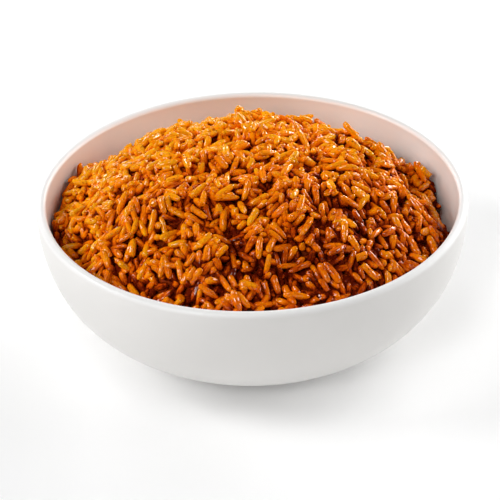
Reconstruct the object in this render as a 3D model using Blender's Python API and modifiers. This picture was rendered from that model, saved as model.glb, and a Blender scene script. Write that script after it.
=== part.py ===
"""A bowl of spiced long-grain rice: a plain white bowl with round sides, and the heap of rice that fills it.

Metres, +Z up. The origin is the middle of the foot, on the surface that the bowl stands on.
"""

import math
import random

import bmesh
import bpy
import numpy as np
from mathutils import Vector, noise
from mathutils.geometry import intersect_line_line_2d, intersect_point_line

MM = 0.001

# Driving dimensions of the bowl
RIM_RADIUS = 82.5 * MM
BOWL_HEIGHT = 56.5 * MM
LIP_WALL = 3.6 * MM
FLOOR_WALL = 5.0 * MM
FOOT_RADIUS = 37.0 * MM
FOOT_HEIGHT = 2.1 * MM
FOOT_RING_WIDTH = 3.2 * MM
RECESS_DEPTH = 1.5 * MM
FOOT_CHAMFER = 0.6 * MM
BOWL_STEPS = 56

# The outer wall leaves the foot flat and comes up to the rim a little inward of upright
LOW_REACH = 13.0 * MM
HIGH_BULGE = 2.2 * MM
HIGH_REACH = 45.6 * MM

# Driving dimensions of the heap of rice
RICE_GAP = 0.6 * MM
CONTACT_DROP = 17.0 * MM
CROWN_RISE = 15.0 * MM
DOME_POWER = 2.7
HEAP_STEPS = 48
UNDER_RINGS = 7
EDGE_FADE = 5.0 * MM
EDGE_POWER = 10
FLOOR_MARGIN = 0.1 * MM

# Where the rice lies higher or lower against the bowl: direction and reach in degrees, rise in millimetres
EDGE_RISES = (
    (153, 9, 7.0),
    (24, 8, 4.0),
    (2, 11, -8.0),
)

# Mounds and hollows of the heap: x, y, reach and rise, in millimetres
LUMPS = (
    (-28, -27, 11, 2.6),
    (-17, -55, 8, 3.0),
    (17, -35, 10, 2.6),
    (37, -50, 8, 2.2),
    (-56, -42, 8, 2.6),
    (-50, 8, 11, 2.0),
    (38, 22, 12, 2.4),
    (2, 18, 12, 1.6),
    (61, -8, 8, 2.0),
    (-9, -43, 8, -4.2),
    (6, -61, 7, -3.4),
    (47, -39, 7, -2.6),
    (-64, -29, 6, -3.0),
    (-36, -55, 6, -3.2),
    (-25, -42, 6, -1.8),
)

# A cooked long grain, and the bumps of its size that cover the heap
GRAIN_LENGTH = 8.7 * MM
GRAIN_WIDTH = 2.8 * MM
GRAIN_HEIGHT = 2.4 * MM
GRAIN_SINK = 1.3 * MM
GRAIN_TRIES = 30000
GRAIN_APART = 2.1 * MM
LENGTH_RANGE = (0.85, 1.1)
RISE_RANGE = (-0.6 * MM, 0.3 * MM)
TURN_SPREAD = 0.5
TILT_SPREAD = 0.13
SWIRL_REACH = 24.0 * MM
SWIRL_LAYER = 0.02
FURROW_DEPTH = 1.1 * MM

# Some grains point out of the heap: their share of all, and their length over a grain's width
END_ON_SHARE = 0.1
END_ON_RANGE = (1.0, 1.5)

# Fine field that the bumps are worked out on, and how many faces it is thinned out to
FIELD_ROWS = 110
FIELD_STEPS = 8 * HEAP_STEPS
TOP_FACES = 9600


def clear_scene():
    for obj in list(bpy.data.objects):
        bpy.data.objects.remove(obj)


def new_collection(name):
    collection = bpy.data.collections.new(name)
    bpy.context.scene.collection.children.link(collection)
    return collection


def material(name, colour, roughness):
    made = bpy.data.materials.new(name)
    made.use_nodes = True
    shader = made.node_tree.nodes["Principled BSDF"]
    shader.inputs["Base Color"].default_value = (*colour, 1.0)
    shader.inputs["Roughness"].default_value = roughness
    shader.inputs["Metallic"].default_value = 0.0
    return made


def curve_point(share):
    """Point (radius, height) of the outer wall and its inward normal, from the foot at 0 to the rim at 1."""
    ends = (
        Vector((FOOT_RADIUS, FOOT_HEIGHT)),
        Vector((FOOT_RADIUS + LOW_REACH, FOOT_HEIGHT)),
        Vector((RIM_RADIUS + HIGH_BULGE, BOWL_HEIGHT - HIGH_REACH)),
        Vector((RIM_RADIUS, BOWL_HEIGHT)),
    )
    rest = 1 - share
    point = (
        ends[0] * rest**3
        + ends[1] * 3 * rest**2 * share
        + ends[2] * 3 * rest * share**2
        + ends[3] * share**3
    )
    along = (
        (ends[1] - ends[0]) * rest**2
        + (ends[2] - ends[1]) * 2 * rest * share
        + (ends[3] - ends[2]) * share**2
    ).normalized()
    return point, Vector((-along.y, along.x))


def wall_at(share):
    return FLOOR_WALL + (LIP_WALL - FLOOR_WALL) * share


def inner_point(share, extra=0.0):
    """Point of the inner wall, or of a surface that stands extra inside it."""
    point, inward = curve_point(share)
    return point + inward * (wall_at(share) + extra)


def share_at_height(height, extra=0.0):
    """Where along the wall the inner surface has this height."""
    low, high = 0.0, 1.0
    for _ in range(40):
        middle = (low + high) / 2
        if inner_point(middle, extra).y < height:
            low = middle
        else:
            high = middle
    return (low + high) / 2


def bowl_profile():
    """Half section of the bowl: up the inside, over the lip, down the outside, round the foot."""
    lip_radius = LIP_WALL / 2
    lip_centre = Vector((RIM_RADIUS - lip_radius, BOWL_HEIGHT - lip_radius))
    top_share = share_at_height(BOWL_HEIGHT - lip_radius * 1.3)
    inside_shares = [top_share * (i / 8) ** 0.9 for i in range(9)]
    outside_shares = [top_share * (i / 9) ** 0.9 for i in range(9, -1, -1)]
    points = [Vector((0.0, inner_point(0.0).y))]
    points += [inner_point(share) for share in inside_shares]
    for angle in (160, 115, 65, 20):
        turn = math.radians(angle)
        points.append(lip_centre + Vector((math.cos(turn), math.sin(turn))) * lip_radius)
    points += [curve_point(share)[0] for share in outside_shares]
    ring_inside = FOOT_RADIUS - FOOT_CHAMFER - FOOT_RING_WIDTH
    points += [
        Vector((FOOT_RADIUS - FOOT_CHAMFER / 2, FOOT_CHAMFER)),
        Vector((FOOT_RADIUS - FOOT_CHAMFER, 0.0)),
        Vector((ring_inside, 0.0)),
        Vector((ring_inside - FOOT_CHAMFER, RECESS_DEPTH)),
        Vector((0.0, RECESS_DEPTH)),
    ]
    return points


def turned(name, profile, steps, collection):
    """A solid turned about Z from a half section whose ends lie on the axis."""
    mesh = bpy.data.meshes.new(name)
    shape = bmesh.new()
    verts = [shape.verts.new((point.x, 0.0, point.y)) for point in profile]
    for first, second in zip(verts, verts[1:]):
        shape.edges.new((first, second))
    shape.to_mesh(mesh)
    shape.free()
    obj = bpy.data.objects.new(name, mesh)
    collection.objects.link(obj)
    screw = obj.modifiers.new("Turn", "SCREW")
    screw.axis = "Z"
    screw.steps = steps
    screw.render_steps = steps
    screw.use_merge_vertices = True
    screw.merge_threshold = 0.00002
    return obj


def make_bowl(collection):
    bowl = turned("bowl", bowl_profile(), BOWL_STEPS, collection)
    bowl.modifiers["Turn"].use_smooth_shade = True
    bowl.data.materials.append(material("white_glaze", (0.86, 0.85, 0.83), 0.28))
    return bowl


def apply_modifiers(obj):
    """Turns what the modifiers make into the object's own mesh."""
    bpy.context.view_layer.update()
    graph = bpy.context.evaluated_depsgraph_get()
    mesh = bpy.data.meshes.new_from_object(obj.evaluated_get(graph))
    obj.modifiers.clear()
    obj.data = mesh


class Heap:
    """Form of the rice: the line where it meets the bowl, and the surface without its grains."""

    def __init__(self):
        self.steps = FIELD_STEPS
        self.edge = [self.edge_point(math.tau * step / self.steps) for step in range(self.steps)]

    def edge_share(self, angle):
        """How far up the wall the rice reaches in this direction."""
        height = BOWL_HEIGHT - CONTACT_DROP
        for middle, reach, rise in EDGE_RISES:
            away = math.remainder(angle - math.radians(middle), math.tau) / math.radians(reach)
            height += rise * MM * math.exp(-(away**2))
        return share_at_height(height, RICE_GAP)

    def edge_point(self, angle):
        return inner_point(self.edge_share(angle), RICE_GAP)

    def edge_at(self, angle):
        """Radius and height of the edge, read between the steps."""
        place = angle / math.tau % 1.0 * self.steps
        first = int(place) % self.steps
        return self.edge[first].lerp(self.edge[(first + 1) % self.steps], place - int(place))

    def room_at(self, spot):
        """Distance from a spot, seen from above, to the edge."""
        return self.edge_at(math.atan2(spot.y, spot.x)).x - spot.length

    def height(self, x, y):
        radius = math.hypot(x, y)
        edge = self.edge_at(math.atan2(y, x))
        share = min(radius / edge.x, 1.0)
        level = BOWL_HEIGHT - CONTACT_DROP
        dome = (CONTACT_DROP + CROWN_RISE) * (1 - share**DOME_POWER)
        dome += (edge.y - level) * share**EDGE_POWER
        fade = max(0.0, min(1.0, (edge.x - radius) / EDGE_FADE))
        lumps = 0.0
        for lump_x, lump_y, reach, rise in LUMPS:
            away = math.hypot(x - lump_x * MM, y - lump_y * MM) / (reach * MM)
            lumps += rise * MM * math.exp(-(away**2))
        return level + dome + lumps * fade

    def stretch(self, radius):
        """How much longer a step down the dome is than it looks from above."""
        share = min(radius / self.edge[0].x, 1.0)
        slope = (CONTACT_DROP + CROWN_RISE) * DOME_POWER * share ** (DOME_POWER - 1) / self.edge[0].x
        return math.sqrt(1 + slope**2)


def random_spot(rng, reach):
    radius = reach * math.sqrt(rng.random())
    angle = rng.uniform(0, math.tau)
    return Vector((radius * math.cos(angle), radius * math.sin(angle)))


def distance_to_line(point, line):
    """Distance from a point to a piece of line."""
    _, share = intersect_point_line(point, *line)
    nearest = line[0].lerp(line[1], max(0.0, min(1.0, share)))
    return (point - nearest.to_2d()).length


def lines_apart(first, second):
    """Distance between two pieces of line, 0 if they cross."""
    if intersect_line_line_2d(*first, *second):
        return 0.0
    pairs = [(point, second) for point in first] + [(point, first) for point in second]
    return min(distance_to_line(point, line) for point, line in pairs)


def lay_grains(heap):
    """Spots, directions, lengths and tilts of the grains that show, as many as fit, in loose swirls."""
    rng = random.Random(5)
    laid = []
    for _ in range(GRAIN_TRIES):
        spot = random_spot(rng, heap.edge[0].x)
        swirl = noise.noise(Vector((spot.x, spot.y, SWIRL_LAYER)) / SWIRL_REACH)
        yaw = swirl * math.tau + rng.gauss(0, TURN_SPREAD)
        length = GRAIN_LENGTH * rng.uniform(*LENGTH_RANGE)
        if rng.random() < END_ON_SHARE:
            length = GRAIN_WIDTH * rng.uniform(*END_ON_RANGE)
        along = Vector((math.cos(yaw), math.sin(yaw)))
        reach = along * (length - GRAIN_WIDTH) / 2
        axis = (spot - reach, spot + reach)
        if min(heap.room_at(end) for end in axis) < GRAIN_WIDTH / 2:
            continue
        apart = GRAIN_APART / heap.stretch(spot.length)
        reach = GRAIN_LENGTH + apart
        near = [grain[2] for grain in laid if (grain[0] - spot).length < reach]
        if all(lines_apart(axis, other) > apart for other in near):
            laid.append((spot, along, axis, length, rng.gauss(0, TILT_SPREAD), rng.uniform(*RISE_RANGE)))
    return laid


def grain_relief(heap, x, y):
    """Height of the grains over the bare heap, at points given as arrays."""
    relief = np.full(x.shape, -FURROW_DEPTH)
    for spot, along, _, length, tilt, rise in lay_grains(heap):
        out = spot.normalized()
        radial = (x - spot.x) * out.x + (y - spot.y) * out.y
        extra = radial * (heap.stretch(spot.length) - 1)
        step_x = x - spot.x + extra * out.x
        step_y = y - spot.y + extra * out.y
        lengthwise = step_x * along.x + step_y * along.y
        sideways = step_y * along.x - step_x * along.y
        inside = 1 - (2 * lengthwise / length) ** 2 - (2 * sideways / GRAIN_WIDTH) ** 2
        top = np.sqrt(np.maximum(inside, 0)) * GRAIN_HEIGHT - GRAIN_SINK + lengthwise * tilt + rise
        relief = np.where(inside > 0, np.maximum(relief, top), relief)
    return relief


def make_top(heap, collection):
    """The heap's upper side: a turned sheet with grain-sized bumps, thinned out inside its rim."""
    rim = heap.edge[0]
    profile = [Vector((rim.x * row / FIELD_ROWS, 0.0)) for row in range(FIELD_ROWS + 1)]
    top = turned("rice", profile, FIELD_STEPS, collection)
    apply_modifiers(top)
    flat = np.array([vert.co for vert in top.data.vertices])
    share = np.hypot(flat[:, 0], flat[:, 1]) / rim.x
    angle = np.arctan2(flat[:, 1], flat[:, 0])
    reach = share * np.array([heap.edge_at(turn).x for turn in angle])
    x, y = reach * np.cos(angle), reach * np.sin(angle)
    bare = np.array([heap.height(*spot) for spot in zip(x, y)])
    stretch = np.array([heap.stretch(radius) for radius in reach])
    inside = share < 1 - 0.5 / FIELD_ROWS
    z = bare + np.where(inside, grain_relief(heap, x, y) * stretch, 0.0)
    for vert, place in zip(top.data.vertices, zip(x, y, z)):
        vert.co = place
    group = top.vertex_groups.new(name="inside")
    group.add(np.flatnonzero(inside).tolist(), 1.0, "REPLACE")
    thin = top.modifiers.new("Thin", "DECIMATE")
    thin.ratio = TOP_FACES / (2 * len(top.data.polygons))
    thin.vertex_group = group.name
    apply_modifiers(top)
    return top


def make_underside(heap, collection):
    """The side of the heap that lies in the bowl, up to the last ring under the heap's edge."""
    level = heap.edge_share(math.pi)
    shares = [level * (ring / UNDER_RINGS) ** 0.9 for ring in range(UNDER_RINGS)]
    profile = [inner_point(share, RICE_GAP) for share in reversed(shares)]
    profile.append(Vector((0.0, profile[-1].y)))
    under = turned("underside", profile, HEAP_STEPS, collection)
    apply_modifiers(under)
    floor = inner_point(0.0, RICE_GAP)
    for vert in under.data.vertices:
        if vert.co.z > floor.y + FLOOR_MARGIN:
            angle = math.atan2(vert.co.y, vert.co.x)
            share = share_at_height(vert.co.z, RICE_GAP) * heap.edge_share(angle) / level
            point = inner_point(share, RICE_GAP)
            vert.co = (point.x * math.cos(angle), point.x * math.sin(angle), point.y)
    return under


def make_rice(collection):
    """The heap as one solid, rough with bumps of a grain's size."""
    heap = Heap()
    rice = make_top(heap, collection)
    under = make_underside(heap, collection)
    shape = bmesh.new()
    shape.from_mesh(rice.data)
    shape.from_mesh(under.data)
    bpy.data.objects.remove(under)
    rims = [edge for edge in shape.edges if edge.is_boundary]
    bmesh.ops.bridge_loops(shape, edges=rims)
    bmesh.ops.recalc_face_normals(shape, faces=shape.faces)
    shape.to_mesh(rice.data)
    shape.free()
    rice.vertex_groups.clear()
    rice.data.materials.append(material("spiced_rice", (0.72, 0.24, 0.02), 0.38))
    return rice


def main():
    clear_scene()
    parts = new_collection("bowl_of_rice")
    make_bowl(parts)
    make_rice(parts)


main()
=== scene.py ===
import math
import random
from collections import namedtuple

import bmesh
import bpy
import numpy as np
from mathutils import Matrix, Vector, noise


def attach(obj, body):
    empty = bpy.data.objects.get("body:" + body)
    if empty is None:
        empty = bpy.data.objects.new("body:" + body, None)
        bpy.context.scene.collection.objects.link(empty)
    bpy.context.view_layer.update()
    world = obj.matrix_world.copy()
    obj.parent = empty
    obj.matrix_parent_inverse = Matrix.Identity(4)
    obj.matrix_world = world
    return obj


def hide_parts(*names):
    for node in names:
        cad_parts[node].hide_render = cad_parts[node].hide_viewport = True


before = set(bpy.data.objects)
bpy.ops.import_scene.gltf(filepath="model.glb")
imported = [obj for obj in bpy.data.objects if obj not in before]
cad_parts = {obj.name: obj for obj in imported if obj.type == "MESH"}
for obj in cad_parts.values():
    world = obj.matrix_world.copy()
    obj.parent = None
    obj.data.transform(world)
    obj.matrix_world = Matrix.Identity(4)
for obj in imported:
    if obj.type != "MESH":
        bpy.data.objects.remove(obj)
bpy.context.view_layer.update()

mm = 0.001  # shapes are worked out in millimetres and written in metres
scene = bpy.context.scene


# shader maths: a wrapped socket that adds its own Math nodes

class Wire:
    def __init__(self, look, socket):
        self.look = look
        self.socket = socket

    def math(self, operation, *others):
        inputs = dict(enumerate((self, *others)))
        return self.look.wire(self.look.node("ShaderNodeMath", {"operation": operation}, inputs))

    def __add__(self, other):
        return self.math("ADD", other)

    def __mul__(self, other):
        return self.math("MULTIPLY", other)

    def __sub__(self, other):
        return self.math("SUBTRACT", other)

    def __rsub__(self, other):
        return self * -1.0 + other

    __radd__ = __add__
    __rmul__ = __mul__

    def between(self, low, high):  # 0 below low, 1 above high, smooth between
        settings = {"interpolation_type": "SMOOTHSTEP"}
        inputs = {"Value": self, "From Min": low, "From Max": high}
        return self.look.wire(self.look.node("ShaderNodeMapRange", settings, inputs))


class Look:
    def __init__(self, name, **constants):
        self.material = bpy.data.materials.new(name)
        self.material.use_nodes = True
        self.tree = self.material.node_tree
        self.shader = self.tree.nodes["Principled BSDF"]
        for socket, value in constants.items():
            self.shader.inputs[socket.replace("_", " ")].default_value = value

    def node(self, kind, settings=None, inputs=None):
        made = self.tree.nodes.new(kind)
        for key, value in (settings or {}).items():
            if key == "stops":
                while len(made.color_ramp.elements) < len(value):
                    made.color_ramp.elements.new(1.0)
                for element, (place, colour) in zip(made.color_ramp.elements, value):
                    element.position = place
                    element.color = (*colour, 1.0)
            else:
                setattr(made, key, value)
        for key, value in (inputs or {}).items():
            self.join(made.inputs[key], value)
        return made

    def join(self, socket, value):
        if isinstance(value, Wire):
            self.tree.links.new(value.socket, socket)
        else:
            socket.default_value = value

    def wire(self, node, output=0):
        return Wire(self, node.outputs[output])

    def place(self):  # position on the piece, in metres
        return self.wire(self.node("ShaderNodeTexCoord"), "Object")

    def noise(self, place, scale, detail, rough):
        inputs = {"Vector": place, "Scale": scale, "Detail": detail, "Roughness": rough}
        return self.wire(self.node("ShaderNodeTexNoise", None, inputs))

    def spots(self, place, scale):  # distance to the nearest of many scattered points
        inputs = {"Vector": place, "Scale": scale}
        return self.wire(self.node("ShaderNodeTexVoronoi", None, inputs), "Distance")

    def ramp(self, value, stops):
        return self.wire(self.node("ShaderNodeValToRGB", {"stops": stops}, {0: value}))

    def mix(self, share, first, second):
        first, second = [c if isinstance(c, Wire) else (*c, 1.0) for c in (first, second)]
        inputs = {0: share, 6: first, 7: second}
        return self.wire(self.node("ShaderNodeMix", {"data_type": "RGBA"}, inputs), 2)

    def attribute(self, name, output="Fac"):
        return self.wire(self.node("ShaderNodeAttribute", {"attribute_name": name}), output)

    def stretched(self, place, scale):
        inputs = {0: place, 1: scale}
        return self.wire(self.node("ShaderNodeVectorMath", {"operation": "MULTIPLY"}, inputs))

    def bump(self, height, strength, distance):
        inputs = {"Height": height, "Strength": strength, "Distance": distance}
        return self.wire(self.node("ShaderNodeBump", None, inputs))

    def feed(self, **sockets):
        for socket, value in sockets.items():
            self.join(self.shader.inputs[socket.replace("_", " ")], value)
        return self.material


# camera: in front of the bowl and looking down on it, turned a little so that the rim falls to the left

view = {
    "place": (-1.275, -435.924, 318.097),
    "down": 33.663,  # degrees
    "turn": 1.34,
    "lens": 95.0,
    "sensor": 36.0,
    "nearest": 20.0,
}


def addCamera():
    camera = bpy.data.objects.new("camera", bpy.data.cameras.new("camera"))
    scene.collection.objects.link(camera)
    camera.data.lens = view["lens"]
    camera.data.sensor_width = view["sensor"]
    camera.data.clip_start = view["nearest"] * mm
    camera.location = Vector(view["place"]) * mm
    tilt = Matrix.Rotation(math.radians(90 - view["down"]), 4, "X")
    turn = Matrix.Rotation(math.radians(-view["turn"]), 4, "Z")
    camera.rotation_euler = (tilt @ turn).to_euler()
    scene.camera = camera


# light: soft white lamps round the bowl and a dim white room, over a pale sheet of paper

lamps = {  # direction and rise in degrees
    "left": {"turn": 180, "rise": 35, "size": 600, "power": 8.9},
    "frontLeft": {"turn": 240, "rise": 35, "size": 600, "power": 7.1},
    "high": {"turn": 240, "rise": 70, "size": 600, "power": 3.3},
    "backLeft": {"turn": 120, "rise": 20, "size": 600, "power": 5.6},
    "back": {"turn": 60, "rise": 20, "size": 600, "power": 8.1},
    "backRight": {"turn": 30, "rise": 20, "size": 900, "power": 11.2},
    "right": {"turn": 0, "rise": 20, "size": 600, "power": 5.6},
}
studio = {
    "lampsAway": 1400,
    "lampsAim": 40,  # height above the floor
    "lampColour": (1.0, 1.0, 1.0),
    "roomColour": (1.0, 1.0, 1.0),
    "roomStrength": 0.03,
    "floorSize": 6000,
    "paper": (0.98, 0.98, 0.98),
    "paperRoughness": 0.9,
    "fibreScale": 90.0,
    "fibreShade": 0.99,
}


def addLamp(name):
    values = lamps[name]
    lamp = bpy.data.lights.new(name, "AREA")
    lamp.shape = "DISK"
    lamp.size = values["size"] * mm
    lamp.energy = values["power"]
    lamp.color = studio["lampColour"]
    holder = bpy.data.objects.new(name, lamp)
    scene.collection.objects.link(holder)
    turn, rise = math.radians(values["turn"]), math.radians(values["rise"])
    way = Vector((math.cos(turn) * math.cos(rise), math.sin(turn) * math.cos(rise), math.sin(rise)))
    holder.location = way * studio["lampsAway"] * mm
    aim = Vector((0, 0, studio["lampsAim"])) * mm - holder.location
    holder.rotation_euler = aim.to_track_quat("-Z", "Y").to_euler()


def addStudio():
    for name in lamps:
        addLamp(name)
    world = bpy.data.worlds.new("room")
    scene.world = world
    world.use_nodes = True
    backdrop = world.node_tree.nodes["Background"]
    backdrop.inputs["Color"].default_value = (*studio["roomColour"], 1.0)
    backdrop.inputs["Strength"].default_value = studio["roomStrength"]
    scene.view_settings.view_transform = "Standard"

    shape = bmesh.new()
    bmesh.ops.create_grid(shape, x_segments=1, y_segments=1, size=studio["floorSize"] * mm / 2)
    floor = newPiece("floor", shape)
    paper = Look("paper", Roughness=studio["paperRoughness"])
    fibres = paper.noise(paper.place(), studio["fibreScale"], 3.0, 0.5)
    shade = paper.mix(fibres, dimmed(studio["paper"], studio["fibreShade"]), studio["paper"])
    floor.data.materials.append(paper.feed(Base_Color=shade))


def dimmed(colour, share):
    return [value * share for value in colour]


def addLayer(mesh, name, values):  # a value, or a vector, for each point
    values = np.asarray(values, np.float32)
    kind, field = ("FLOAT", "value") if values.ndim == 1 else ("FLOAT_VECTOR", "vector")
    mesh.attributes.new(name, kind, "POINT").data.foreach_set(field, values.ravel())


def newPiece(name, shape):
    mesh = bpy.data.meshes.new(name)
    shape.to_mesh(mesh)
    shape.free()
    mesh.shade_smooth()
    piece = bpy.data.objects.new(name, mesh)
    scene.collection.objects.link(piece)
    return piece


# bowl: one turned profile, with a rounded lip and a low foot ring

bowlForm = {
    "rimRadius": 82.5,
    "height": 56.5,
    "lipWall": 3.6,
    "floorWall": 5.0,
    "footRadius": 37.0,
    "footHeight": 2.1,
    "footRingWidth": 3.2,
    "recessDepth": 1.5,
    "footRound": 0.6,
    "cornerRound": 0.5,  # where the foot meets the wall and the recess
    "lowReach": 13.0,
    "highBulge": 2.2,
    "highReach": 45.6,
    "wallPoints": 44,
    "steps": 160,
    "glaze": (0.745, 0.73, 0.71),
    # painted highlight: the lip's glaze is lighter to stand in for the light the lip catches
    "lipHighlightGlaze": (0.85, 0.845, 0.835),
    # painted light: the inside glaze is lighter and slightly warmer than the outside, standing in for light on the
    # inner wall
    "insidePaintedLightGlaze": (0.84, 0.82, 0.785),
    "bareClay": (0.62, 0.56, 0.48),
    "lipHighlightBand": (54.5, 56.1),  # heights from the outside glaze to the lip's
    "bareBand": (0.3, 0.8),  # heights from bare clay to glaze
    "glazeRoughness": 0.34,
    "clayRoughness": 0.4,  # added to the glaze's
}


def outerCurve(share):
    # radius and height of the outer wall and its inward normal, foot 0 to rim 1
    f = bowlForm
    ends = np.array([
        (f["footRadius"], f["footHeight"]),
        (f["footRadius"] + f["lowReach"], f["footHeight"]),
        (f["rimRadius"] + f["highBulge"], f["height"] - f["highReach"]),
        (f["rimRadius"], f["height"]),
    ])
    t = np.atleast_1d(share)[:, None]
    point = ends[0] * (1 - t)**3 + ends[1] * 3 * (1 - t)**2 * t
    point = point + ends[2] * 3 * (1 - t) * t**2 + ends[3] * t**3
    steps = np.diff(ends, axis=0)
    along = steps[0] * (1 - t)**2 + steps[1] * 2 * (1 - t) * t + steps[2] * t**2
    along /= np.linalg.norm(along, axis=1)[:, None]
    return point, np.stack([-along[:, 1], along[:, 0]], 1)


def innerCurve(share, extra=0.0):
    point, inward = outerCurve(share)
    wall = bowlForm["floorWall"] + (bowlForm["lipWall"] - bowlForm["floorWall"]) * np.atleast_1d(share)
    return point + inward * (wall + extra)[:, None]


def arc(centre, radius, first, last, count):  # points on part of a circle, angles in degrees
    turns = np.radians(np.linspace(first, last, count))
    return [(centre[0] + math.cos(turn) * radius, centre[1] + math.sin(turn) * radius) for turn in turns]


def bowlProfile():
    # radius and height of each point, from the middle of the floor over the lip to the middle of the underside
    f = bowlForm
    lip = f["lipWall"] / 2
    soft, corner = f["footRound"], f["cornerRound"]
    shares = np.linspace(0, 1, 400)
    topShare = float(np.interp(f["height"] - lip * 1.02, innerCurve(shares)[:, 1], shares))
    wall = topShare * np.linspace(0, 1, f["wallPoints"])**0.9
    ringOut = f["footRadius"] - soft
    ringIn = ringOut - f["footRingWidth"]
    points = [(0.0, float(innerCurve(0.0)[0, 1]))]
    points += [tuple(point) for point in innerCurve(wall)]
    points += arc((f["rimRadius"] - lip, f["height"] - lip), lip, 172, 8, 14)
    points += [tuple(point) for point in outerCurve(wall[::-1])[0][:-1]]
    points += arc((f["footRadius"] + corner, f["footHeight"] - corner), corner, 90, 180, 5)
    points += arc((ringOut, soft), soft, 0, -90, 6)
    points += arc((ringIn, soft), soft, -90, -180, 6)
    points += arc((ringIn - soft - corner, f["recessDepth"] - corner), corner, 0, 90, 4)
    points.append((0.0, f["recessDepth"]))
    return points


def addBowl():
    shape = bmesh.new()
    corners = [shape.verts.new((radius * mm, 0.0, height * mm)) for radius, height in bowlProfile()]
    edges = [shape.edges.new(pair) for pair in zip(corners, corners[1:])]
    bmesh.ops.spin(
        shape, geom=corners + edges, axis=(0, 0, 1), cent=(0, 0, 0), angle=math.tau,
        steps=bowlForm["steps"], use_merge=True,
    )
    bmesh.ops.remove_doubles(shape, verts=shape.verts, dist=0.02 * mm)
    bmesh.ops.recalc_face_normals(shape, faces=shape.faces)
    bowl = newPiece("whiteBowl", shape)
    places = np.array([vert.co[:] for vert in bowl.data.vertices]) / mm
    shares = np.linspace(0, 1, 300)
    middle = (outerCurve(shares)[0] + innerCurve(shares)) / 2
    inside = np.hypot(places[:, 0], places[:, 1]) < np.interp(places[:, 2], middle[:, 1], middle[:, 0])
    inside &= places[:, 2] > middle[0, 1]
    addLayer(bowl.data, "inside", inside)
    bowl.data.materials.append(glazeLook())
    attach(bowl, "root")
    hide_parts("bowl")
    print("bowl", len(bowl.data.polygons), "faces")


def glazeLook():
    # satin white glaze, with painted light making it lighter inside, a painted highlight on the lip, and the bare
    # clay showing under the foot ring
    f = bowlForm
    look = Look("whiteGlaze", IOR=1.5)
    place = look.place()
    height = look.wire(look.node("ShaderNodeSeparateXYZ", None, {0: place}), "Z")
    # painted highlight: the band at the top of the lip gets the lighter glaze
    lip = height.between(*[level * mm for level in f["lipHighlightBand"]])
    bare = 1 - height.between(*[level * mm for level in f["bareBand"]])
    flow = look.noise(place, 28.0, 3.0, 0.55)
    grit = look.noise(place, 2600.0, 2.0, 0.6)
    waves = look.noise(place, 160.0, 2.0, 0.5)
    pits = look.spots(place, 1400.0)
    white = look.mix(flow.between(0.3, 0.7), dimmed(f["glaze"], 0.975), f["glaze"])
    # painted light: the inside gets the lighter, warmer glaze
    white = look.mix(look.attribute("inside"), white, f["insidePaintedLightGlaze"])
    white = look.mix(lip, white, f["lipHighlightGlaze"])
    clay = look.mix(grit, dimmed(f["bareClay"], 0.8), f["bareClay"])
    relief = waves + pits.between(0.0, 0.12) * 0.25 + bare * grit * 2.0
    return look.feed(
        Base_Color=look.mix(bare, white, clay),
        Roughness=flow * 0.08 + f["glazeRoughness"] + bare * f["clayRoughness"],
        Normal=look.bump(relief, 0.06, 0.4 * mm),
    )


# rice: the form of the heap, as in the solids

heapForm = {
    "gap": 0.35,
    "contactDrop": 17.0,
    "crownRise": 15.0,
    "domePower": 2.7,
    "edgeFade": 5.0,
    "edgePower": 10,
    "edgeRises": ((153, 9, 7.0), (24, 8, 4.0), (2, 11, -8.0)),  # direction, reach, rise
    "lumps": (  # x, y, reach, rise
        (-28, -27, 11, 2.6), (-17, -55, 8, 3.0), (17, -35, 10, 2.6), (37, -50, 8, 2.2), (-56, -42, 8, 2.6),
        (-50, 8, 11, 2.0), (38, 22, 12, 2.4), (2, 18, 12, 1.6), (61, -8, 8, 2.0), (-9, -43, 8, -4.2),
        (6, -61, 7, -3.4), (47, -39, 7, -2.6), (-64, -29, 6, -3.0), (-36, -55, 6, -3.2), (-25, -42, 6, -1.8),
    ),
}

wallShares = np.linspace(0, 1, 600)
wallCurve = innerCurve(wallShares, heapForm["gap"])  # radius and height of the rice's side in the bowl


def edgeLine():  # radius and height of the heap's edge for each degree
    f = heapForm
    turns = np.arange(361)
    height = np.full(361, bowlForm["height"] - f["contactDrop"])
    for middle, reach, rise in f["edgeRises"]:
        away = (turns - middle + 180) % 360 - 180
        height += rise * np.exp(-(away / reach)**2)
    return turns, np.interp(height, wallCurve[:, 1], wallCurve[:, 0]), height


edgeTurns, edgeRadii, edgeHeights = edgeLine()


def edgeAt(x, y):  # radius and height of the heap's edge in the direction of a place
    turn = np.degrees(np.arctan2(y, x)) % 360
    return np.interp(turn, edgeTurns, edgeRadii), np.interp(turn, edgeTurns, edgeHeights)


def heapHeight(x, y):
    f = heapForm
    radius = np.hypot(x, y)
    edgeRadius, edgeHeight = edgeAt(x, y)
    share = np.minimum(radius / edgeRadius, 1)
    level = bowlForm["height"] - f["contactDrop"]
    dome = (f["contactDrop"] + f["crownRise"]) * (1 - share**f["domePower"])
    dome = dome + (edgeHeight - level) * share**f["edgePower"]
    lumps = 0.0
    for lumpX, lumpY, reach, rise in f["lumps"]:
        lumps = lumps + rise * np.exp(-((x - lumpX)**2 + (y - lumpY)**2) / reach**2)
    return level + dome + lumps * np.clip((edgeRadius - radius) / f["edgeFade"], 0, 1)


# grains: a few shapes of one cooked long grain, laid one by one until the heap is full

grainForm = {
    "length": 8.8,
    "width": 2.9,
    "thickness": 2.45,
    "blunt": (3.2, 5.6),  # power of the rounding of its ends
    "taper": (0.05, 0.28),
    "bend": (0.0, 0.3),
    "crook": (-0.2, 0.2),
    "crease": (0.04, 0.2),
    "uneven": 0.1,
    "sides": 8,
    "rings": 8,
    "shapes": 16,
    "seed": 41,
}


Grain = namedtuple("Grain", "x y z yaw tilt roll size index")


def grainKind(index):
    return {1: "split", 3: "broken"}.get(index % 4, "whole")


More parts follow.
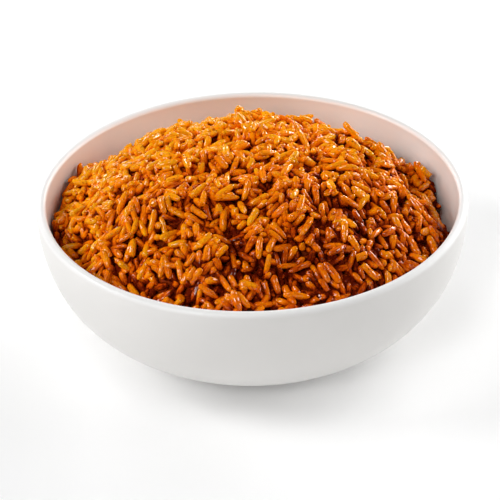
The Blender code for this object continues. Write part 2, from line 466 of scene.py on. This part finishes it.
def grainShape(index):
    # corners of a grain one long, one wide and one thick, and its faces
    f = grainForm
    rng = random.Random(f["seed"] * 100 + index)
    shape = bmesh.new()
    bmesh.ops.create_uvsphere(shape, u_segments=f["sides"], v_segments=f["rings"], radius=0.5)
    ranges = [f[key] for key in ("blunt", "taper", "bend", "crook", "crease")]
    blunt, taper, bend, crook, crease = [rng.uniform(low, high) for low, high in ranges]
    kind = grainKind(index)
    for vert in shape.verts:
        share = max(-1.0, min(1.0, vert.co.z * 2))
        turn = math.atan2(vert.co.y, vert.co.x)
        tip = abs(share) > 0.999
        girth = 0.0 if tip else (1 - abs(share)**blunt)**0.5 * (1 - taper * max(0.0, share)**2)
        girth *= 1 - crease * max(0.0, math.cos(turn))**4 * (1 - share * share)
        bumpy = noise.noise(Vector((share * 2.5, math.cos(turn), math.sin(turn) + index * 3)))
        girth *= 1 + f["uneven"] * bumpy
        place = share
        if kind == "broken" and share > 0.6:  # broken across
            girth *= 1.25
            place = 0.66 + 0.09 * math.cos(turn * 2 + index)
        if kind == "split" and share < -0.6:  # burst open at one end
            girth *= 1.2
            place = share * (1 - 0.16 * max(0.0, math.cos(turn - 1.0)) - 0.2 * tip)
        vert.co = (
            place / 2,
            girth * math.sin(turn) / 2 + bend * (0.25 - place * place / 2),
            girth * math.cos(turn) / 2 + crook * place**3,
        )
    shape.verts.index_update()
    corners = np.array([vert.co[:] for vert in shape.verts])
    bmesh.ops.recalc_face_normals(shape, faces=shape.faces)
    faces = [[vert.index for vert in face.verts] for face in shape.faces]
    shape.free()
    return corners, faces


pourForm = {
    "cell": 0.25,  # of the height map
    "halfSide": 79,
    "depth": 4.0,  # of loose grains over the core
    # two stages: most grains, spots to choose from, room that still takes a grain, and how high its middle may lie
    "packed": {"most": 2700, "spots": 40, "full": 2.0, "top": (-2.5, -0.9)},
    "loose": {"most": 800, "spots": 12, "full": -9.0, "top": (-0.1, 1.3)},
    "misses": 400,  # before a stage ends
    "ceiling": 75.0,  # for the tips of the highest grains
    "lengths": (0.82, 1.12),
    "widths": (0.85, 1.1),
    "thicknesses": (0.88, 1.1),
    "brokenLengths": (0.55, 0.85),
    "crumbs": 0.07,  # share of crumbs
    "crumbLengths": (0.4, 0.6),
    "jitter": (-0.4, 0.4),
    "swirl": 1.4,  # how far the main direction turns over the heap, in half turns
    "swirlReach": 13.0,
    "turnSpread": 0.6,
    "slopeSpread": 0.12,
    "alongBowl": 5,  # nearer to the edge than this, half the directions follow the bowl
    "alongSpread": 0.3,
    "perky": 0.18,  # share of grains that stick up
    "perkySlopes": (0.4, 1.5),
    "perkyTops": (-1.6, -0.2),
    "sink": 0.3,  # how far a grain presses into those under it
    "clumps": ((44, 1.4), (22, 2.1), (11, 0.8)),  # reach in cells and size of the heap's own unevenness
    "clumpFade": 5,  # towards the edge
    "skylineFade": 15,  # from the near side of the crown to the far side
    "skyline": (  # x and rise along the far side of the crown
        (-60, -0.4), (-50, -1.8), (-36, 0.2), (-23, -2.4), (-12, -1.7), (-8, -2.4), (-3, -1.2), (2, -2.4),
        (8, -0.6), (12, -0.3), (18, -1.8), (24, -3.4), (29, -2.0), (35, -4.2), (40, 0.2), (44, -2.6),
        (49, -1.6), (54, 0.2), (59, -4.0), (64, -2.6), (69, 1.5),
    ),
    "climbs": ((5.2, 175, 20), (2.0, 186, 8), (2.0, 4, 9)),  # rise of the rice against the bowl, direction and reach
    "climbFade": 13,  # away from the bowl
    "coverReach": 11,  # in cells, for the mean height that a grain's depth is taken from
    "seed": 7,
    "kindSeed": 3,
}


def smoothNoise(count, reach, rng):
    # a square of values about -1 to 1 that change over reach cells
    coarse = max(4, int(count / reach) + 3)
    values = rng.normal(0, 1, (coarse, coarse))
    place = np.linspace(1, coarse - 2.001, count)
    low = place.astype(int)
    part = place - low
    part = part * part * (3 - 2 * part)
    rows = values[low] * (1 - part)[:, None] + values[low + 1] * part[:, None]
    return (rows[:, low] * (1 - part) + rows[:, low + 1] * part) * 0.7


class Bed:
    # the height map that the grains are laid on
    def __init__(self):
        p = pourForm
        self.rng = np.random.default_rng(p["seed"])
        self.cell = p["cell"]
        self.side = np.arange(-p["halfSide"], p["halfSide"] + self.cell, self.cell)
        x, y = np.meshgrid(self.side, self.side, indexing="ij")
        radius = np.hypot(x, y)
        edgeRadius, _ = edgeAt(x, y)
        self.fromEdge = edgeRadius - radius
        heap = heapHeight(x, y)
        self.slopeX, self.slopeY = np.gradient(heap, self.cell)
        self.target = self.uneven(heap, x, y)
        wall = np.interp(radius, wallCurve[:, 0], wallCurve[:, 1])
        self.ground = np.maximum(self.target - p["depth"], np.where(self.fromEdge < 1.5, wall, -99))
        self.core = self.ground.copy()
        self.swirl = smoothNoise(self.side.size, p["swirlReach"] / self.cell, self.rng) * math.pi * p["swirl"]
        self.inside = np.argwhere(self.fromEdge > 0.5)
        self.grains = []

    def uneven(self, heap, x, y):  # with clumps, a skyline and climbs against the bowl
        p = pourForm
        clumps = sum(smoothNoise(self.side.size, reach, self.rng) * size for reach, size in p["clumps"])
        heap = heap + clumps * np.clip(self.fromEdge / p["clumpFade"], 0, 1)
        skyX, skyRise = np.array(p["skyline"]).T
        heap += np.interp(x, skyX, skyRise) * np.clip(y / p["skylineFade"] + 0.3, 0, 1)
        turn = np.degrees(np.arctan2(y, x)) % 360
        for climb, middle, reach in p["climbs"]:
            away = (turn - middle + 180) % 360 - 180
            heap += climb * np.exp(-(away / reach)**2) * np.clip(1 - self.fromEdge / p["climbFade"], 0, 1)
        return heap

    def cells(self, places):  # the cells that places along a side fall in
        return ((places - self.side[0]) / self.cell + 0.5).astype(int).clip(0, len(self.side) - 1)

    def anyOf(self, key, *count):  # random values in one of pourForm's ranges
        return self.rng.uniform(*pourForm[key], *count)

    def lay(self, stage):
        # lays grains where there is most room, until the heap is full to its top or the stage's share is laid
        p, rng = pourForm, self.rng
        before = len(self.grains)
        missed = 0
        while len(self.grains) - before < stage["most"] and missed < p["misses"]:
            spots = self.inside[rng.integers(len(self.inside), size=stage["spots"])]
            room = self.target[spots[:, 0], spots[:, 1]] - self.ground[spots[:, 0], spots[:, 1]]
            best = int(np.argmax(room))
            if room[best] < stage["full"]:
                missed += 1
                continue
            i, j = spots[best]
            x, y = self.side[i] + self.anyOf("jitter"), self.side[j] + self.anyOf("jitter")
            index = int(rng.integers(grainForm["shapes"]))
            size = self.grainSize(index)
            yaws = self.directions(i, j, x, y)
            top = self.target[i, j] + rng.uniform(*stage["top"])
            if rng.random() < p["perky"]:
                slopes = self.slopeX[i, j] * np.cos(yaws) + self.slopeY[i, j] * np.sin(yaws)
                slopes = slopes + rng.choice((-1, 1), len(yaws)) * self.anyOf("perkySlopes", len(yaws))
                rests = np.full(len(yaws), self.target[i, j] + self.anyOf("perkyTops"))
            else:
                rests, slopes = self.restOn(x, y, yaws, size)
                slopes = slopes + rng.normal(0, p["slopeSpread"], len(yaws))
            free = keptIn(x, y, np.minimum(rests, top), yaws, slopes, size)
            if not free.any():
                missed += 1
                continue
            pick = int(np.argmin(np.where(free, rests, 999)))
            slope, yaw = float(slopes[pick]), float(yaws[pick])
            upper = p["ceiling"] - size[2] / 2 - abs(slope) * size[0] * 0.4
            z = float(min(rests[pick], top, upper))
            self.stamp(x, y, z, yaw, slope, size)
            self.grains.append(Grain(x, y, z, yaw, math.atan(slope), rng.uniform(0, math.tau), size, index))

    def grainSize(self, index):
        length = grainForm["length"] * self.anyOf("lengths")
        if grainKind(index) == "broken":
            length *= self.anyOf("brokenLengths")
        if self.rng.random() < pourForm["crumbs"]:
            length *= self.anyOf("crumbLengths")
        width = grainForm["width"] * self.anyOf("widths")
        return length, width, grainForm["thickness"] * self.anyOf("thicknesses")

    def directions(self, i, j, x, y):  # eight to choose from, two of them free
        yaws = self.swirl[i, j] + self.rng.normal(0, pourForm["turnSpread"], 8)
        yaws[6:] = self.rng.uniform(0, math.tau, 2)
        if self.fromEdge[i, j] < pourForm["alongBowl"]:
            yaws[::2] = math.atan2(y, x) + math.pi / 2 + self.rng.normal(0, pourForm["alongSpread"], 4)
        return yaws

    def restOn(self, x, y, yaws, size):
        # for several directions, the height and slope at which a grain rests on what lies under it
        length, width, thick = size
        stations = np.linspace(-0.45, 0.45, 9)
        cosine, sine = np.cos(yaws)[:, None, None], np.sin(yaws)[:, None, None]
        across = np.array((-0.32, 0.0, 0.32))[None, None, :] * width
        lift = np.array((0.77, 1.0, 0.77))[None, None, :]
        slopes = np.zeros(len(yaws))
        for _ in range(2):
            stretch = np.sqrt(1 + slopes**2)[:, None]
            u = stations[None] * length / stretch
            radius = thick / 2 * np.sqrt(1 - (stations[None] * 2)**4) * stretch
            i = self.cells(x + u[:, :, None] * cosine - across * sine)
            j = self.cells(y + u[:, :, None] * sine + across * cosine)
            need = (self.ground[i, j] + radius[:, :, None] * lift).max(2)
            gap = u[:, None, 5:] - u[:, :4, None]
            bridge = (need[:, :4, None] * u[:, None, 5:] - need[:, None, 5:] * u[:, :4, None]) / gap
            pair = bridge.reshape(len(yaws), -1).argmax(1)
            a, b = pair // 4, pair % 4 + 5
            rows = np.arange(len(yaws))
            slopes = ((need[rows, b] - need[rows, a]) / (u[rows, b] - u[rows, a])).clip(-1.2, 1.2)
        return (need - slopes[:, None] * u).max(1) - pourForm["sink"], slopes

    def stamp(self, x, y, z, yaw, slope, size):
        # raises the ground to the top of the grain
        length, width, thick = size
        stretch = math.sqrt(1 + slope * slope)
        low = [max(0, int((middle - length / 2 - self.side[0]) / self.cell)) for middle in (x, y)]
        high = [int((middle + length / 2 - self.side[0]) / self.cell) + 2 for middle in (x, y)]
        window = (slice(low[0], high[0]), slice(low[1], high[1]))
        dx = self.side[window[0]][:, None] - x
        dy = self.side[window[1]][None] - y
        u = dx * math.cos(yaw) + dy * math.sin(yaw)
        v = dy * math.cos(yaw) - dx * math.sin(yaw)
        inside = 1 - np.abs(2 * u * stretch / length)**4 - (2 * v / width)**2
        top = z + slope * u + thick / 2 * stretch * np.sqrt(np.maximum(inside, 0))
        self.ground[window] = np.maximum(self.ground[window], np.where(inside > 0, top, -99))


def blurred(field, reach):  # mean over a square of cells
    for _ in range(2):
        total = np.cumsum(np.pad(field, ((reach + 1, reach), (0, 0)), "edge"), 0)
        field = ((total[2 * reach + 1:] - total[:-2 * reach - 1]) / (2 * reach + 1)).T
    return field


def keptIn(x, y, heights, yaws, slopes, size):
    # which of several ways to lay a grain stay clear of the bowl
    length, width, thick = size
    free = math.hypot(x, y) < np.interp(heights, wallCurve[:, 1], wallCurve[:, 0]) - width * 0.5
    reach = length / np.sqrt(1 + slopes**2) / 2
    for end in (-1, 1):
        tipX, tipY = x + end * reach * np.cos(yaws), y + end * reach * np.sin(yaws)
        limit = np.interp(heights + end * reach * slopes, wallCurve[:, 1], wallCurve[:, 0])
        free &= np.hypot(tipX, tipY) < limit - thick * 0.25
    return free


def joinGrains(name, shapes, grains, look, bed, cover):
    # one mesh of many grains: each has its own tint, and each point its depth in the heap and its place in its grain
    points, faces, tint, deep, own = [], [], [], [], []
    start = 0
    rng = np.random.default_rng(len(grains))
    for grain in grains:
        corners, loops = shapes[grain.index]
        turn = Matrix.Rotation(grain.yaw, 3, "Z") @ Matrix.Rotation(-grain.tilt, 3, "Y")
        turn = turn @ Matrix.Rotation(grain.roll, 3, "X")
        placed = (corners * grain.size) @ np.array(turn).T + (grain.x, grain.y, grain.z)
        points.append(placed * mm)
        i, j = bed.cells(placed[:, :2]).T
        deep.append(cover[i, j] - placed[:, 2])
        faces += [[start + corner for corner in face] for face in loops]
        start += len(corners)
        tint.append(np.full(len(corners), rng.random()))
        own.append(corners * grain.size + rng.uniform(0, 900, 3))
    mesh = bpy.data.meshes.new(name)
    mesh.from_pydata(np.concatenate(points).tolist(), [], faces)
    for key, values in (("tint", tint), ("deep", deep), ("own", own)):
        addLayer(mesh, key, np.concatenate(values))
    mesh.shade_smooth()
    mesh.materials.append(look)
    piece = bpy.data.objects.new(name, mesh)
    scene.collection.objects.link(piece)
    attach(piece, "root")
    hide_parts("rice")
    print(name, len(grains), "grains", len(faces), "faces")


riceColours = {
    "pale": (0.97, 0.39, 0.004),
    "golden": (0.96, 0.272, 0.0008),
    "orange": (0.84, 0.172, 0.0004),
    "brown": (0.50, 0.060, 0.0003),
    "sauce": (0.12, 0.007, 0.0002),
    "speck": (0.06, 0.008, 0.0005),
}
# the ramp's dark end, brown and sauce, is both the sauce on some grains and painted shade where depth and side push
# the shade up
shadeStops = (("pale", 0.0), ("golden", 0.3), ("orange", 0.58), ("brown", 0.82), ("sauce", 1.0))
grainSauce = {"wholeGrains": 0.0, "splitGrains": 0.0, "sauceGrains": 0.24, "brokenGrains": 0.04}
sauceShare = 0.2  # of the grains that aren't broken
riceLook = {
    "coatIndex": 1.85,
    "coatRoughness": 0.07,
    "oilScale": 800.0,
    "oilPatches": (0.49, 0.57),
    "roughness": 0.55,
    "speckScale": 430.0,
    "specks": 0.75,
    "tints": 0.32,  # how far one grain differs from the next
    "patches": 1.15,
    # painted shade: how much darker a point gets the deeper it lies under the heap's mean top
    "depthShade": 0.78,
    "streaks": 0.9,
    # painted shade: the heap gets darker towards its near and its right side
    "paintedShadeRight": 1.9,  # more for each metre to the right
    "paintedShadeNear": 4.8,
    "relief": 0.9,
}


def grainLook(name, sauce):
    # cooked rice stained by its sauce: each grain its own shade, with painted shade where it lies deep and towards
    # the near and right side, and specks of spice
    c, f = riceColours, riceLook
    look = Look(
        name, IOR=1.45, Specular_IOR_Level=0.02, Subsurface_Weight=0.2, Subsurface_Radius=(1.0, 0.4, 0.1),
        Subsurface_Scale=1.2 * mm, Coat_Roughness=f["coatRoughness"], Coat_IOR=f["coatIndex"],
    )
    place = look.place()
    apart = look.node("ShaderNodeSeparateXYZ", None, {0: place})
    x, y = look.wire(apart, "X"), look.wire(apart, "Y")
    own, deep = look.attribute("own", "Vector"), look.attribute("deep")
    patches = look.noise(place, 110.0, 3.0, 0.6)
    stain = look.noise(place, 850.0, 3.0, 0.6)
    oil = look.noise(place, f["oilScale"], 2.0, 0.5)
    skin = look.noise(place, 1500.0, 3.0, 0.6)
    streaks = look.noise(look.stretched(own, (0.4, 1.3, 1.3)), 1.0, 3.0, 0.65)
    shade = look.attribute("tint") * f["tints"] + (patches - 0.5) * f["patches"] + sauce
    # painted shade: darker the deeper a point lies in the heap's hollows and gaps
    shade = shade + deep.between(-1.1, 2.3) * f["depthShade"] + (streaks - 0.5) * f["streaks"]
    # painted shade: darker towards the right and the near side of the heap
    shade = shade + x * f["paintedShadeRight"] - y * f["paintedShadeNear"]
    colour = look.ramp(shade, [(stop, c[key]) for key, stop in shadeStops])
    colour = look.mix(stain.between(0.54, 0.7) * 0.7, colour, c["brown"])
    specks = 1 - look.spots(place, f["speckScale"]).between(0.1, 0.17)
    colour = look.mix(specks * patches.between(0.4, 0.55) * f["specks"], colour, c["speck"])
    return look.feed(
        Base_Color=colour,
        Roughness=f["roughness"] - oil.between(0.4, 0.7) * 0.2,
        Coat_Weight=oil.between(*f["oilPatches"]) * (1 - deep.between(-0.7, 0.9)),
        Normal=look.bump(skin + streaks * 0.5, f["relief"], 0.4 * mm),
    )


def paintedShadeCoreLook():
    # painted shade: the packed rice under the grains is coloured from the dark sauce colour to brown, standing in
    # for the shade in the gaps between grains
    look = Look("packedRice", IOR=1.45, Specular_IOR_Level=0.1, Roughness=0.6)
    place = look.place()
    patches = look.noise(place, 260.0, 4.0, 0.6)
    crumbs = look.spots(place, 420.0)
    colour = look.ramp(patches, [(0.3, riceColours["sauce"]), (0.75, riceColours["brown"])])
    return look.feed(Base_Color=colour, Normal=look.bump(crumbs, 0.8, 0.8 * mm))


coreForm = {
    "spokes": 120,
    "rows": 46,  # from the edge to the middle
    "wallRows": 16,
    "cover": 1.0,  # how far it stays under the heap's top
    "edgeBand": 3,  # width of its border
    "edgeDrop": 5.0,  # of the border, under the heap's edge
    "brimDrop": 6,  # of its side's upper end, under the lowest edge
}


def addCore(bed):
    # the packed rice under the loose grains: a round sheet lowered onto its height map, and its side in the bowl
    f = coreForm
    shape = bmesh.new()
    reach = float(edgeRadii.max())
    corners = [shape.verts.new((reach * (1 - row / f["rows"]), 0.0, 0.0)) for row in range(f["rows"] + 1)]
    brim = float(np.interp(edgeHeights.min() - f["brimDrop"], wallCurve[:, 1], wallShares))
    lower = innerCurve(np.linspace(brim, 0.0, f["wallRows"]), heapForm["gap"])
    below = [shape.verts.new((radius, 0.0, -height)) for radius, height in lower]
    below.append(shape.verts.new((0.0, 0.0, -float(lower[-1, 1]))))
    line = below[::-1] + corners
    edges = [shape.edges.new(pair) for pair in zip(line, line[1:])]
    bmesh.ops.spin(
        shape, geom=line + edges, axis=(0, 0, 1), cent=(0, 0, 0), angle=math.tau,
        steps=f["spokes"], use_merge=True,
    )
    bmesh.ops.remove_doubles(shape, verts=shape.verts, dist=0.02)
    for vert in shape.verts:
        x, y, z = vert.co
        if z < 0:  # the side in the bowl
            vert.co = (x * mm, y * mm, -z * mm)
            continue
        edgeRadius, edgeHeight = edgeAt(x, y)
        x, y = x * edgeRadius / reach, y * edgeRadius / reach
        i, j = bed.cells(np.array((x, y)))
        height = max(min(float(bed.core[i, j]), float(heapHeight(x, y)) - f["cover"]), float(lower[0, 1]))
        if edgeRadius - math.hypot(x, y) <= f["edgeBand"]:
            height = float(edgeHeight) - f["edgeDrop"]
        limit = float(np.interp(height, wallCurve[:, 1], wallCurve[:, 0]))
        squeeze = min(1.0, limit / max(math.hypot(x, y), 0.001))
        vert.co = (x * squeeze * mm, y * squeeze * mm, height * mm)
    bmesh.ops.recalc_face_normals(shape, faces=shape.faces)
    piece = newPiece("packedRice", shape)
    piece.data.materials.append(paintedShadeCoreLook())
    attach(piece, "root")
    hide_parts("rice")
    print("core", len(piece.data.polygons), "faces")


def addRice():
    shapes = [grainShape(index) for index in range(grainForm["shapes"])]
    bed = Bed()
    bed.lay(pourForm["packed"])
    bed.lay(pourForm["loose"])
    print("grains", len(bed.grains))
    addCore(bed)
    cover = blurred(blurred(bed.ground, pourForm["coverReach"]), pourForm["coverReach"])
    rng = random.Random(pourForm["kindSeed"])
    kinds = {name: [] for name in grainSauce}
    for grain in bed.grains:
        kind = grainKind(grain.index)
        if kind != "broken" and rng.random() < sauceShare:
            kind = "sauce"
        kinds[kind + "Grains"].append(grain)
    for name, grains in kinds.items():
        joinGrains(name, shapes, grains, grainLook(name + "Look", grainSauce[name]), bed, cover)


addCamera()
addStudio()
addBowl()
addRice()
